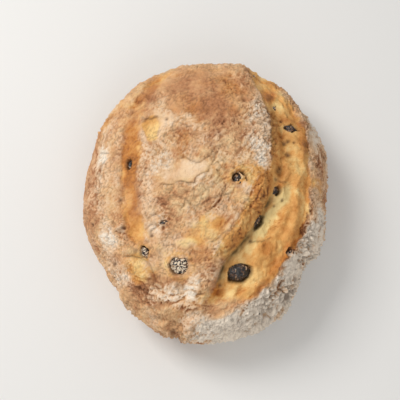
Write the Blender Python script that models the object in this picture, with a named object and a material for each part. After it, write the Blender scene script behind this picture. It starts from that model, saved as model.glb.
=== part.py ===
"""A small hearth loaf with raisins, baked in one piece and dusted with flour.

The loaf is one solid: an oval dome with a flat underside. Its right side burst open while it baked, so a
split runs down it between the edge of the middle lobe and a raised lip, and a shallow valley runs down
its left side. Each raisin is a piece of its own, seated in a pocket of the crust.

Every place on the crust is named by its unrolled plan: seen from above, a place keeps its own x and y down
to the widest level, and the lower flank and underside carry on outwards past that outline.
"""

import math

import bmesh
import bpy
import numpy as np
from mathutils import Matrix, Vector

MM = 0.001

# Driving dimensions, in metres. +X is the split's side, +Y the end where the split starts.
WIDTH = 138.8 * MM
LENGTH = 162.6 * MM
HEIGHT = 64.0 * MM
WIDEST_LEVEL = 23.0 * MM
# How far below the widest level the lower half would reach if the tray didn't flatten it.
LOWER_DROP = 28.0 * MM
POCKET_GAP = 0.3 * MM

# Powers of the cosine that set how square the dome and the lower flank look from the side.
DOME_POWER = 0.92
FLANK_POWER = 0.75
FLANK_RISE_POWER = 0.95

# Where the outline leaves its ellipse: direction and spread in degrees, and how far in millimetres.
OUTLINE_BULGES = (
    (178, 45, -1.5),
    (161, 6, -1.1),
    (-143, 11, -3.4),
    (-133, 4, -1.8),
    (-120, 7, -1.9),
    (-101, 3, -2.1),
    (-38, 11, -5.2),
    (-6, 10, -2.4),
    (22, 11, 2.3),
    (31, 4, 0.8),
    (50, 6, 1.6),
    (68, 12, 1.1),
    (97, 14, -1.1),
)

# Lines on the unrolled plan, in millimetres, from the +Y end to the -Y end.
LOBE_EDGE = (
    (23, 84), (25, 67), (30, 51), (34, 37), (34, 20), (33, 3), (31, -9),
    (22, -24), (14, -35), (8, -43), (5, -52), (0, -61), (-6, -72),
)  # fmt: skip
LIP_EDGE = (
    (30, 84), (40, 63), (48, 48), (53, 36), (55, 16), (55, 2), (53, -18),
    (47, -32), (38, -45), (27, -57), (13, -66), (-1, -72), (-9, -75),
)  # fmt: skip
LEFT_VALLEY = (
    (-24, 84), (-26, 67), (-33, 50), (-40, 36), (-41, 21), (-42, 2), (-40, -17), (-38, -27), (-41, -37),
)  # fmt: skip
LEFT_PLEAT = ((-47, -39), (-38, -39), (-31, -44), (-28, -50), (-29, -55))
FRONT_SEAM = ((-30, -68), (-22, -69), (-11, -69), (-3, -67))

# Heights of the crust above and below the plain dome, in millimetres.
SPLIT_DEPTH = 5.0
# The split shallows where its two edges draw together, and towards its +Y end.
SPLIT_NARROWS = (3.0, 14.0)
SPLIT_END = (45.0, 75.0)
SPLIT_END_FADE = 0.6
LOBE_RISE = 1.5
LIP_RISE = 1.2
VALLEY_DEPTH = 2.6
PLEAT_DEPTH = 2.0
SEAM_DEPTH = 1.6
BLISTER_PIT = (-29, 31)
BLISTER_DEPTH = 2.0
COVERED_RAISIN = (18, -2)
COVERED_RAISIN_RISE = 2.2
# The folds fade out over these heights above the table, so the underside stays flat.
FOLD_FADE = (4.0 * MM, 16.0 * MM)
# How far up the crust has to face, as the height of its unit normal, for its folds to fall straight down.
FALL_FACING = (0.5, 0.75)

# The top of the loaf takes more of the sphere's points than the underside.
LOAF_DIVISIONS = 5
CROWN_PULL = 0.4

RAISIN_DIVISIONS = 2
LARGE_RAISIN_DIVISIONS = 3
LARGE_RAISIN_LENGTH = 7.5
RAISIN_WRINKLE = 0.07
# Name, place on the unrolled plan, length, width, thickness, turn in degrees, depth of its middle below
# the crust. The rest are millimetres.
RAISINS = (
    ("raisin_front_large", (16, -47), (13.0, 9.6, 7.0), 17, 1.2),
    ("raisin_front_floury", (-15, -45), (10.8, 9.6, 6.5), -10, 1.2),
    ("raisin_covered", (16, -0.5), (9.0, 8.0, 6.0), 60, 2.5),
    ("raisin_right_shoulder", (45.5, 32.5), (8.6, 6.0, 5.0), -12, 1.0),
    ("raisin_split_long", (26, -21), (8.6, 4.2, 4.4), 62, 1.2),
    ("raisin_split_top", (35.5, -3.5), (5.4, 4.6, 4.2), 70, 1.2),
    ("raisin_left_valley", (-41, 10), (5.6, 3.2, 3.6), 82, 1.0),
    ("raisin_left_fold", (-33, -37), (6.6, 4.6, 4.4), -62, 1.2),
    ("raisin_slit", (-23, -23), (6.4, 4.6, 4.2), 18, 1.5),
    ("raisin_lip", (42, -36), (5.2, 4.0, 3.8), 75, 1.3),
    ("raisin_split_end", (26, 67), (5.4, 4.0, 4.0), 30, 1.2),
    ("raisin_upper_split", (38, 47), (4.6, 3.4, 3.4), -40, 1.1),
    ("raisin_back_flank", (-12, 86), (7.4, 5.4, 4.6), 15, 1.2),
    ("raisin_left_flank", (-75, -6), (8.0, 5.6, 4.8), 70, 1.2),
    ("raisin_right_flank", (74, -24), (6.6, 5.0, 4.4), 110, 1.2),
    ("raisin_front_flank", (34, -80), (7.0, 5.2, 4.6), -20, 1.2),
)

CRUST_COLOUR = (0.56, 0.33, 0.16, 1.0)
CRUST_ROUGHNESS = 0.8
RAISIN_COLOUR = (0.022, 0.014, 0.012, 1.0)
RAISIN_ROUGHNESS = 0.35


def clear_scene():
    for thing in list(bpy.data.objects):
        bpy.data.objects.remove(thing, do_unlink=True)


def plain_material(name, colour, roughness):
    material = bpy.data.materials.new(name)
    material.use_nodes = True
    shader = material.node_tree.nodes["Principled BSDF"]
    shader.inputs["Base Color"].default_value = colour
    shader.inputs["Roughness"].default_value = roughness
    shader.inputs["Metallic"].default_value = 0.0
    return material


def smooth_step(low, high, value):
    """0 below low, 1 above high, and a smooth rise between them."""
    share = np.clip((value - low) / (high - low), 0.0, 1.0)
    return share * share * (3.0 - 2.0 * share)


def bell(distance, width):
    return np.exp(-((distance / width) ** 2))


def outline_radius(azimuth):
    """Radius of the loaf's widest level: an ellipse with a few soft bulges and hollows."""
    radius = 1.0 / np.hypot(np.cos(azimuth) / (WIDTH / 2), np.sin(azimuth) / (LENGTH / 2))
    for direction, spread, rise in OUTLINE_BULGES:
        turn = np.angle(np.exp(1j * (azimuth - math.radians(direction))))
        radius = radius + rise * MM * bell(turn, math.radians(spread))
    return radius


def dome_point(azimuth, latitude):
    """The plain form: a dome above the widest level, and below it a rounder flank, flat where it would
    pass through the table. Latitude runs from -90 degrees under the loaf to 90 on its crown."""
    upper = latitude >= 0
    power = np.where(upper, DOME_POWER, FLANK_POWER)
    radius = outline_radius(azimuth) * np.maximum(np.cos(latitude), 0.0) ** power
    rise = np.abs(np.sin(latitude))
    above = WIDEST_LEVEL + (HEIGHT - WIDEST_LEVEL) * rise
    below = np.maximum(WIDEST_LEVEL - LOWER_DROP * rise**FLANK_RISE_POWER, 0.0)
    height = np.where(upper, above, below)
    return np.stack([radius * np.cos(azimuth), radius * np.sin(azimuth), height], axis=-1)


def unrolled_place(azimuth, latitude):
    """Plan place in millimetres: the dome's own plan, and the lower flank past the outline."""
    upper = latitude >= 0
    power = np.where(upper, DOME_POWER, FLANK_POWER)
    share = np.maximum(np.cos(latitude), 0.0) ** power
    radius = outline_radius(azimuth) * np.where(upper, share, 2.0 - share) / MM
    return np.stack([radius * np.cos(azimuth), radius * np.sin(azimuth)], axis=-1)


def azimuth_and_latitude(place):
    """The inverse of unrolled_place for one place."""
    azimuth = math.atan2(place[1], place[0])
    share = math.hypot(*place) * MM / float(outline_radius(azimuth))
    if share <= 1.0:
        return azimuth, math.acos(share ** (1.0 / DOME_POWER))
    return azimuth, -math.acos((2.0 - share) ** (1.0 / FLANK_POWER))


def smooth_curve(points, steps=12):
    """A Catmull-Rom curve through the points, as rows of x and y."""
    given = np.array(points, float)
    given = np.vstack([2 * given[0] - given[1], given, 2 * given[-1] - given[-2]])
    t = np.linspace(0.0, 1.0, steps, endpoint=False)[:, None]
    stretches = [
        0.5 * (2 * b + (c - a) * t + (2 * a - 5 * b + 4 * c - d) * t**2 + (3 * b - a - 3 * c + d) * t**3)
        for a, b, c, d in zip(given[:-3], given[1:-2], given[2:-1], given[3:])
    ]
    return np.vstack(stretches + [given[-2:-1]])


def distance_east(places, points):
    """Distance from each place to the line through the points, positive on its +X side as it runs to -Y."""
    curve = smooth_curve(points)
    along = np.gradient(curve, axis=0)
    along /= np.linalg.norm(along, axis=1, keepdims=True)
    offset = places[:, None, :] - curve[None, :, :]
    reach = np.linalg.norm(offset, axis=2)
    nearest = np.argmin(reach, axis=1)
    rows = np.arange(len(places))
    gap, run = offset[rows, nearest], along[nearest]
    side = gap[:, 1] * run[:, 0] - gap[:, 0] * run[:, 1]
    return reach[rows, nearest] * np.where(side >= 0, 1.0, -1.0)


def split_relief(places):
    """The burst side: the middle lobe ends in a step, the torn dough climbs from its foot to the lip."""
    past_lobe = distance_east(places, LOBE_EDGE)
    before_lip = -distance_east(places, LIP_EDGE)
    inside = (past_lobe > 0) & (before_lip > 0)
    width = np.maximum(past_lobe + before_lip, 1e-6)
    share = np.where(inside, past_lobe / width, 0.0)
    floor = smooth_step(0.0, 0.18, share) * (1.0 - 0.8 * smooth_step(0.22, 0.8, share))
    floor *= smooth_step(*SPLIT_NARROWS, width)
    floor *= 1.0 - SPLIT_END_FADE * smooth_step(*SPLIT_END, places[:, 1])
    relief = -SPLIT_DEPTH * floor
    relief += LOBE_RISE * bell(past_lobe + 5.0, 7.0) * (past_lobe <= 0)
    relief += LIP_RISE * bell(before_lip + 3.0, 4.0) * smooth_step(*SPLIT_NARROWS, width)
    return relief


def crust_relief(places):
    """Height in millimetres of the crust over the plain dome, at places on the unrolled plan."""
    relief = split_relief(places)
    relief -= VALLEY_DEPTH * bell(distance_east(places, LEFT_VALLEY), 5.5)
    relief -= PLEAT_DEPTH * bell(distance_east(places, LEFT_PLEAT), 3.0)
    relief -= SEAM_DEPTH * bell(distance_east(places, FRONT_SEAM), 3.0)
    relief -= BLISTER_DEPTH * bell(np.linalg.norm(places - BLISTER_PIT, axis=1), 5.0)
    relief += COVERED_RAISIN_RISE * bell(np.linalg.norm(places - COVERED_RAISIN, axis=1), 7.0)
    return relief


def fold_directions(outward):
    """Which way a fold goes for each outward direction: straight down where the crust faces up, so that a
    fold keeps its place on the plan, and along the outward direction on the flank."""
    facing_up = smooth_step(*FALL_FACING, outward[:, 2])
    directions = outward * (1.0 - facing_up)[:, None]
    directions[:, 2] += facing_up / np.maximum(outward[:, 2], FALL_FACING[0])
    return directions


def sphere_mesh(divisions):
    mesh = bmesh.new()
    bmesh.ops.create_icosphere(mesh, subdivisions=divisions, radius=1.0)
    return mesh


def add_object(name, mesh, material=None):
    data = bpy.data.meshes.new(name)
    mesh.to_mesh(data)
    mesh.free()
    data.shade_smooth()
    if material:
        data.materials.append(material)
    thing = bpy.data.objects.new(name, data)
    bpy.context.scene.collection.objects.link(thing)
    return thing


def make_loaf(material):
    """A sphere whose points are moved to the plain form, then along the folds by the relief."""
    mesh = sphere_mesh(LOAF_DIVISIONS)
    directions = np.array([point.co[:] for point in mesh.verts])
    latitude = np.arcsin(np.clip(directions[:, 2], -1.0, 1.0))
    latitude = np.minimum(latitude + CROWN_PULL * np.cos(latitude), math.pi / 2)
    azimuth = np.arctan2(directions[:, 1], directions[:, 0])
    form = dome_point(azimuth, latitude)
    for point, place in zip(mesh.verts, form):
        point.co = place
    mesh.normal_update()
    normals = np.array([point.normal[:] for point in mesh.verts])
    relief = crust_relief(unrolled_place(azimuth, latitude)) * MM
    relief *= smooth_step(*FOLD_FADE, form[:, 2])
    form += fold_directions(normals) * relief[:, None]
    for point, place in zip(mesh.verts, form):
        point.co = place
    return add_object("loaf", mesh, material)


def seat_on_crust(place, depth):
    """(middle, outward direction) of a thing whose middle lies this deep under the crust at a place."""
    azimuth, latitude = azimuth_and_latitude(place)
    step = 0.01
    here = dome_point(azimuth, latitude)
    round_the_loaf = dome_point(azimuth + step, latitude) - here
    up_the_loaf = dome_point(azimuth, latitude + step) - here
    outward = Vector(np.cross(round_the_loaf, up_the_loaf)).normalized()
    relief = float(crust_relief(np.array([place], float))[0]) * MM
    relief *= float(smooth_step(*FOLD_FADE, here[2]))
    fold = Vector(fold_directions(np.array([outward]))[0])
    return Vector(here) + fold * relief - outward * depth * MM, outward


def seat_frame(middle, outward, turn):
    """A frame at the middle whose z points out of the crust and whose x is turned from the plan's +X."""
    heading = Vector((math.cos(turn), math.sin(turn), 0.0))
    across = outward.cross(heading).normalized()
    along = across.cross(outward)
    frame = Matrix((along, across, outward)).transposed().to_4x4()
    frame.translation = middle
    return frame


def raisin_mesh(size, phase, extra=0.0):
    """An egg-shaped berry with shrunken folds, grown by extra on every side."""
    divisions = LARGE_RAISIN_DIVISIONS if size[0] >= LARGE_RAISIN_LENGTH else RAISIN_DIVISIONS
    mesh = sphere_mesh(divisions)
    half = Vector(size) * MM / 2
    for point in mesh.verts:
        x, y, z = point.co
        folds = math.sin(3.1 * math.atan2(y, z) + phase) * math.cos(2.2 * x + phase)
        swell = 1.0 + RAISIN_WRINKLE * folds
        point.co = Vector((x * half.x, y * half.y, z * half.z)) * swell
    mesh.normal_update()
    outward = [point.normal.copy() for point in mesh.verts]
    for point, direction in zip(mesh.verts, outward):
        point.co += direction * extra
    return mesh


def make_raisins(material):
    """The raisins, and a cutter collection that holds each one grown by the pocket's gap."""
    pockets = bpy.data.collections.new("pockets")
    bpy.context.scene.collection.children.link(pockets)
    for index, (name, place, size, turn, depth) in enumerate(RAISINS):
        middle, outward = seat_on_crust(place, depth)
        frame = seat_frame(middle, outward, math.radians(turn))
        raisin = add_object(name, raisin_mesh(size, phase=index), material)
        raisin.matrix_world = frame
        cutter = add_object(f"{name}_pocket", raisin_mesh(size, phase=index, extra=POCKET_GAP))
        cutter.matrix_world = frame
        cutter.hide_render = True
        cutter.display_type = "WIRE"
        bpy.context.scene.collection.objects.unlink(cutter)
        pockets.objects.link(cutter)
    return pockets


def cut_pockets(loaf, pockets):
    cut = loaf.modifiers.new("raisin pockets", "BOOLEAN")
    cut.operation = "DIFFERENCE"
    cut.operand_type = "COLLECTION"
    cut.collection = pockets
    cut.solver = "EXACT"


def centre_on_origin(loaf):
    """Moves everything so that the loaf's box is centred over the origin."""
    corners = np.array([corner[:] for corner in loaf.bound_box])
    middle = (corners.min(axis=0) + corners.max(axis=0)) / 2
    shift = Matrix.Translation((-middle[0], -middle[1], 0.0))
    for thing in bpy.data.objects:
        thing.matrix_world = shift @ thing.matrix_world


def main():
    clear_scene()
    crust = plain_material("crust", CRUST_COLOUR, CRUST_ROUGHNESS)
    raisin_skin = plain_material("raisin_skin", RAISIN_COLOUR, RAISIN_ROUGHNESS)
    loaf = make_loaf(crust)
    pockets = make_raisins(raisin_skin)
    bpy.context.view_layer.update()
    centre_on_origin(loaf)
    cut_pockets(loaf, pockets)


main()
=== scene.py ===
"""The looks of a small hearth loaf with raisins: its crust, its burst side, its raisins and a plain stage.

Lengths are millimetres until a mesh is made. +X is the burst side, +Y the end where the split starts.
A place on the crust is named by its unrolled plan: seen from above, it keeps its own x and y down to the
widest level, and the lower flank carries on outwards past that outline.
"""

import math

import bpy
import numpy as np
from mathutils import Matrix, Vector


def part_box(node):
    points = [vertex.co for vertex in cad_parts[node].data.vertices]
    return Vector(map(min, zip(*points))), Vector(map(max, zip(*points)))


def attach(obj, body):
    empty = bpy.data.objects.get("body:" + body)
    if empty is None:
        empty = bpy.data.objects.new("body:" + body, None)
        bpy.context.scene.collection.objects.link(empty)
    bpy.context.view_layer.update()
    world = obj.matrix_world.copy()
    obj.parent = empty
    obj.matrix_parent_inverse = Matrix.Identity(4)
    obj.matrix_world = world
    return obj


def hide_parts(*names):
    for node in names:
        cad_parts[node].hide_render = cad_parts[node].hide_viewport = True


MM = 0.001

# The plain form, as the CAD loaf has it.
WIDTH = 138.8
LENGTH = 162.6
HEIGHT = 64.0
WIDEST_LEVEL = 23.0
LOWER_DROP = 28.0
DOME_POWER = 0.92
FLANK_POWER = 0.75
FLANK_RISE_POWER = 0.95

# Where the outline leaves its ellipse: direction and spread in degrees, and how far.
OUTLINE_BULGES = (
    (178, 45, -1.5),
    (161, 6, -1.1),
    (-143, 11, -3.4),
    (-133, 4, -1.8),
    (-120, 7, -1.9),
    (-101, 3, -2.1),
    (-38, 11, -5.2),
    (-6, 10, -2.4),
    (22, 11, 2.3),
    (31, 4, 0.8),
    (50, 6, 1.6),
    (68, 12, 1.1),
    (97, 14, -1.1),
)

# Lines on the unrolled plan, from the +Y end to the -Y end.
LOBE_EDGE = (
    (23, 84), (25, 67), (30, 51), (34, 37), (34, 20), (33, 3), (31, -9),
    (22, -24), (14, -35), (8, -43), (5, -52), (0, -61), (-6, -72),
)  # fmt: skip
LIP_EDGE = (
    (30, 84), (40, 63), (48, 48), (53, 36), (55, 16), (55, 2), (53, -18),
    (47, -32), (38, -45), (27, -57), (13, -66), (-1, -72), (-9, -75),
)  # fmt: skip
SECOND_GROOVE = ((37, 50), (38, 42), (40, 35), (41, 28), (41, 20), (40, 13), (39, 8), (37, 2), (35, -5))
CREASE = (
    (35, -3), (32, -9), (29, -15), (26, -20), (23, -25), (19, -30), (15, -35),
    (10, -40), (7, -45), (5, -51), (3, -57),
)  # fmt: skip
HOT_RIDGE = (
    (49, 49), (53, 41), (54, 31), (51, 21), (51, 12), (49, 3), (48, -9), (47, -17),
    (44, -29), (41, -38), (36, -44), (30, -50), (24, -55), (18, -59),
)  # fmt: skip
PALE_STRIP = ((43, 19), (44, 10), (42, 2), (38, -8), (35, -14), (32, -20), (28, -26), (23, -32), (19, -36))
UNDER_LIP = ((57, -10), (56, -20), (54, -32), (50, -43), (44, -52), (37, -59), (28, -65), (16, -70))
LEFT_BAND = (
    (-22, 76), (-27, 66), (-34, 52), (-38, 42), (-41, 30), (-41, 18), (-42, 6),
    (-41, -8), (-39, -20), (-36, -30), (-37, -36),
)  # fmt: skip
LEFT_RIDGE = ((-56, 21), (-57, 9), (-55, -2), (-55, -13), (-53, -25), (-49, -35), (-46, -44))
LEFT_PLEAT = ((-46, -38), (-38, -39), (-32, -42), (-29, -47), (-28, -51), (-30, -54))
FRONT_SEAM = ((-34, -68), (-27, -70), (-20, -70), (-11, -69), (-3, -67))
FLAKE_EDGE = (
    (-27, -3), (-19, -4), (-15, -2), (-10, -3), (-7, -3), (-6, 0), (-3, 2), (0, 3), (1, 6), (0, 9),
)  # fmt: skip
FLAKE_CRACK = ((-17, 10), (-12, 12), (-9, 10), (-5, 9), (-2, 11), (1, 13), (3, 16), (7, 19))


def smooth_step(low, high, value):
    """0 below low, 1 above high, and a smooth rise between them."""
    share = np.clip((value - low) / (high - low), 0.0, 1.0)
    return share * share * (3.0 - 2.0 * share)


def bell(distance, width):
    """1 at no distance, falling off as the exponential of minus the square of distance over width."""
    return np.exp(-((distance / width) ** 2))


# Noise.

LATTICE_PRIMES = np.array([73856093, 19349663, 83492791], np.int64)
LARGEST_NUMBER = 0xFFFFFFFF

# Further than counts, in cells or in a raisin's own radii.
FAR = 9.0
CUBE_CORNERS = np.array([(i, j, k) for i in (0, 1) for j in (0, 1) for k in (0, 1)], float)
NEIGHBOURS = np.array([(i, j, k) for i in (-1, 0, 1) for j in (-1, 0, 1) for k in (-1, 0, 1)], float)
SLOPES = np.array(
    [(a, b, 0) for a in (1, -1) for b in (1, -1)]
    + [(a, 0, b) for a in (1, -1) for b in (1, -1)]
    + [(0, a, b) for a in (1, -1) for b in (1, -1)],
    float,
)


def lattice_number(cell, seed):
    """One repeatable whole number for each lattice point: its coordinates times primes, mixed."""
    mixed = (cell.astype(np.int64) * LATTICE_PRIMES).sum(axis=-1) + seed * 2654435761
    mixed = (mixed ^ (mixed >> 15)) * 2246822519 & LARGEST_NUMBER
    mixed = (mixed ^ (mixed >> 13)) * 3266489917 & LARGEST_NUMBER
    return mixed ^ (mixed >> 16)


def swell_noise(places, size, seed):
    """Gradient noise from about -1 to 1: each lattice point holds a slope, and a place takes the slopes of
    its cell's eight corners, blended by a smooth share of the way across the cell."""
    scaled = places / size
    cell = np.floor(scaled)
    inside = scaled - cell
    share = inside**3 * (inside * (inside * 6.0 - 15.0) + 10.0)
    total = np.zeros(len(places))
    for corner in CUBE_CORNERS:
        slope = SLOPES[lattice_number(cell + corner, seed) % len(SLOPES)]
        weight = np.prod(np.where(corner == 1, share, 1.0 - share), axis=1)
        total += weight * np.sum(slope * (inside - corner), axis=1)
    return 1.5 * total


def layered_noise(places, size, seed, layers=4, keep=0.55):
    """Swell noise at one size, half that size and so on, each layer weaker by the same share."""
    total = np.zeros(len(places))
    strength = 1.0
    for layer in range(layers):
        total += strength * swell_noise(places, size / 2**layer, seed + layer)
        strength *= keep
    return total


def cell_gap(places, size, seed):
    """One point lies at random in each lattice cell. The gap is the second nearest point's distance less the
    nearest's, so it is 0 on the border between two."""
    scaled = places / size
    home = np.floor(scaled)
    first = np.full(len(places), FAR)
    second = np.full(len(places), FAR)
    for step in NEIGHBOURS:
        cell = home + step
        draws = [lattice_number(cell, seed + turn) / LARGEST_NUMBER for turn in range(3)]
        reach = np.linalg.norm(cell + np.stack(draws, axis=-1) - scaled, axis=1)
        nearest = reach < first
        second = np.where(nearest, first, np.minimum(second, reach))
        first = np.where(nearest, reach, first)
    return second - first


def swells(places, size, seeds):
    """Three swell noises side by side, one for each axis, for bending places."""
    return np.stack([swell_noise(places, size, seed) for seed in seeds], axis=-1)


# Lines and patches on the unrolled plan.

CURVE_STEPS = 5
CRACK_STEPS = 3


def smooth_curve(points, steps):
    """A Catmull-Rom curve through the points, as rows of x and y."""
    given = np.array(points, float)
    given = np.vstack([2 * given[0] - given[1], given, 2 * given[-1] - given[-2]])
    t = np.linspace(0.0, 1.0, steps, endpoint=False)[:, None]
    stretches = [
        0.5 * (2 * b + (c - a) * t + (2 * a - 5 * b + 4 * c - d) * t**2 + (3 * b - a - 3 * c + d) * t**3)
        for a, b, c, d in zip(given[:-3], given[1:-2], given[2:-1], given[3:])
    ]
    return np.vstack(stretches + [given[-2:-1]])


class Line:
    """A line on the plan, and how each place lies to it: how far past it, positive on its +X side as it runs
    to -Y, how far down it the nearest point is, and the plan direction that leads away from it."""

    def __init__(self, plan, points, steps=CURVE_STEPS):
        curve = smooth_curve(points, steps)
        runs = np.diff(curve, axis=0)
        lengths = np.linalg.norm(runs, axis=1)
        before = np.concatenate([[0.0], np.cumsum(lengths)])
        nearest = np.full(len(plan), np.inf)
        self.past = np.zeros(len(plan))
        self.down = np.zeros(len(plan))
        self.off = np.zeros((len(plan), 2))
        self.total = np.linalg.norm(np.diff(smooth_curve(points, CURVE_STEPS), axis=0), axis=1).sum()
        for start, run, length, passed in zip(curve, runs, lengths, before):
            gap = plan - start
            share = np.clip(gap @ run / length**2, 0.0, 1.0)
            miss = gap - share[:, None] * run
            reach = np.hypot(miss[:, 0], miss[:, 1])
            closer = reach < nearest
            side = np.where(gap[:, 1] * run[0] - gap[:, 0] * run[1] >= 0.0, 1.0, -1.0)
            nearest = np.where(closer, reach, nearest)
            self.past = np.where(closer, reach * side, self.past)
            self.down = np.where(closer, passed + share * length, self.down)
            self.off[closer] = (-run[1] / length, run[0] / length)

    def fade(self, reach):
        """1 along the line, and a smooth fall to 0 over this distance at each of its ends."""
        return smooth_step(0.0, reach, self.down) * smooth_step(0.0, reach, self.total - self.down)

    def bead(self, width, reach, shift=0.0):
        """A bell of this width across the line, shifted back by this distance, that fades at its ends."""
        return bell(self.past + shift, width) * self.fade(reach)


def patch(crust, x, y, length, width, turn=0.0):
    """1 inside an ellipse turned by this many degrees, and a ragged fall to 0 past its edge."""
    gap = crust.plan - (x, y)
    cosine, sine = math.cos(math.radians(turn)), math.sin(math.radians(turn))
    along = (gap[:, 0] * cosine + gap[:, 1] * sine) / (length / 2)
    across = (gap[:, 1] * cosine - gap[:, 0] * sine) / (width / 2)
    return 1.0 - smooth_step(0.6, 1.35, np.hypot(along, across) + crust.ragged)


# The plain form.


def outline_radius(azimuth):
    """Radius of the widest level: an ellipse with a few soft bulges and hollows."""
    radius = 1.0 / np.hypot(np.cos(azimuth) / (WIDTH / 2), np.sin(azimuth) / (LENGTH / 2))
    for direction, spread, rise in OUTLINE_BULGES:
        turn = np.angle(np.exp(1j * (azimuth - math.radians(direction))))
        radius = radius + rise * bell(turn, math.radians(spread))
    return radius


def level_share(latitude):
    """The share of the outline's radius that is left at a latitude: its cosine to the dome's power, or to
    the flank's power below the widest level."""
    power = np.where(latitude >= 0, DOME_POWER, FLANK_POWER)
    return np.maximum(np.cos(latitude), 0.0) ** power


def level_height(latitude):
    """Height at a latitude: the dome rises with its sine, and the flank drops until it meets the table."""
    rise = np.abs(np.sin(latitude))
    above = WIDEST_LEVEL + (HEIGHT - WIDEST_LEVEL) * rise
    below = np.maximum(WIDEST_LEVEL - LOWER_DROP * rise**FLANK_RISE_POWER, 0.0)
    return np.where(latitude >= 0, above, below)


def dome_point(azimuth, latitude):
    """A point of the plain form: outline radius times level share, turned to the azimuth, at level height."""
    radius = outline_radius(azimuth) * level_share(latitude)
    return np.stack([radius * np.cos(azimuth), radius * np.sin(azimuth), level_height(latitude)], axis=-1)


def unrolled_place(azimuth, latitude):
    """Plan place: the dome's own plan above the widest level, and twice the outline less it below."""
    share = level_share(latitude)
    radius = outline_radius(azimuth) * np.where(latitude >= 0, share, 2.0 - share)
    return np.stack([radius * np.cos(azimuth), radius * np.sin(azimuth)], axis=-1)


def outward_direction(azimuth, latitude):
    """The form's outward direction: the cross product of its slopes round the outline and up a meridian,
    each taken from two points a small step apart. It is straight down on the flat underside."""
    step = 1e-4
    radius = outline_radius(azimuth)
    turning = (outline_radius(azimuth + step) - radius) / (step * radius)
    low = np.clip(latitude - step, -math.pi / 2, math.pi / 2)
    high = np.clip(latitude + step, -math.pi / 2, math.pi / 2)
    inwards = -radius * (level_share(high) - level_share(low))
    upwards = level_height(high) - level_height(low)
    flat = (latitude < 0) & (upwards < 1e-9)
    away, round_it, up = upwards, -turning * upwards, inwards
    length = np.sqrt(away**2 + round_it**2 + up**2) + 1e-12
    away, round_it, up = away / length, round_it / length, up / length
    up = np.where(flat, -1.0, up)
    x = away * np.cos(azimuth) - round_it * np.sin(azimuth)
    y = away * np.sin(azimuth) + round_it * np.cos(azimuth)
    return np.where(flat[:, None], (0.0, 0.0, -1.0), np.stack([x, y, up], axis=-1))


def arc_latitudes(shares, low, high):
    """Latitudes at these shares of the arc from low to high along a meridian of middling size."""
    steps = np.linspace(low, high, 400)
    out = (WIDTH + LENGTH) / 4 * level_share(steps)
    arc = np.concatenate([[0.0], np.cumsum(np.hypot(np.diff(out), np.diff(level_height(steps))))])
    return np.interp(shares * arc[-1], arc, steps)


# The loaf's mesh: a square grid folded over the dome, rings down the flank and under the loaf, and one point
# under the middle.

CROWN_CELLS = 256
FLANK_RINGS = 27
UNDERSIDE_RINGS = 5
RINGS = FLANK_RINGS + UNDERSIDE_RINGS


def crown_grid():
    """Azimuth and latitude of the grid: u and v run from -1 to 1, x is u times the root of 1 - v²/2, y is v
    times the root of 1 - u²/2, and the distance from the middle is the share of the arc down the dome."""
    line = np.linspace(-1.0, 1.0, CROWN_CELLS + 1)
    u, v = np.meshgrid(line, line, indexing="ij")
    x = u * np.sqrt(1.0 - v**2 / 2.0)
    y = v * np.sqrt(1.0 - u**2 / 2.0)
    reach = np.minimum(np.hypot(x, y), 1.0)
    return np.arctan2(y, x).ravel(), arc_latitudes(1.0 - reach, 0.0, math.pi / 2).ravel()


def ring_latitudes():
    """Latitudes of the rings below the widest level: down the flank to the table, then in under the loaf."""
    touch = -math.asin((WIDEST_LEVEL / LOWER_DROP) ** (1.0 / FLANK_RISE_POWER))
    flank = arc_latitudes(1.0 - np.arange(1, FLANK_RINGS + 1) / FLANK_RINGS, touch, 0.0)
    shares = 1.0 - np.arange(1, UNDERSIDE_RINGS + 1) / (UNDERSIDE_RINGS + 1)
    under = arc_latitudes(shares, -math.pi / 2, touch)
    return np.concatenate([flank, under])


def crown_border():
    """Grid numbers of the border points, once round from the south-east corner towards the north-east."""
    count = CROWN_CELLS + 1
    numbers = np.arange(count * count).reshape(count, count)
    sides = (numbers[-1, :-1], numbers[:0:-1, -1], numbers[0, :0:-1], numbers[:-1, 0])
    return np.concatenate(sides)


def loaf_faces(border):
    """Quads of the crown grid and of the rings below it, and the triangles that close the underside."""
    count = CROWN_CELLS + 1
    numbers = np.arange(count * count).reshape(count, count)
    corners = (numbers[:-1, :-1], numbers[1:, :-1], numbers[1:, 1:], numbers[:-1, 1:])
    crown = np.stack([corner.ravel() for corner in corners], axis=-1)
    rings = count * count + np.arange(RINGS * len(border)).reshape(RINGS, -1)
    rings = np.vstack([border, rings])
    following = np.roll(rings, -1, axis=1)
    flank = np.stack([rings[:-1], rings[1:], following[1:], following[:-1]], axis=-1).reshape(-1, 4)
    middle = np.full(len(border), rings[-1, -1] + 1)
    base = np.stack([rings[-1], middle, following[-1]], axis=-1)
    return crown.tolist() + flank.tolist() + base.tolist()


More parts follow.
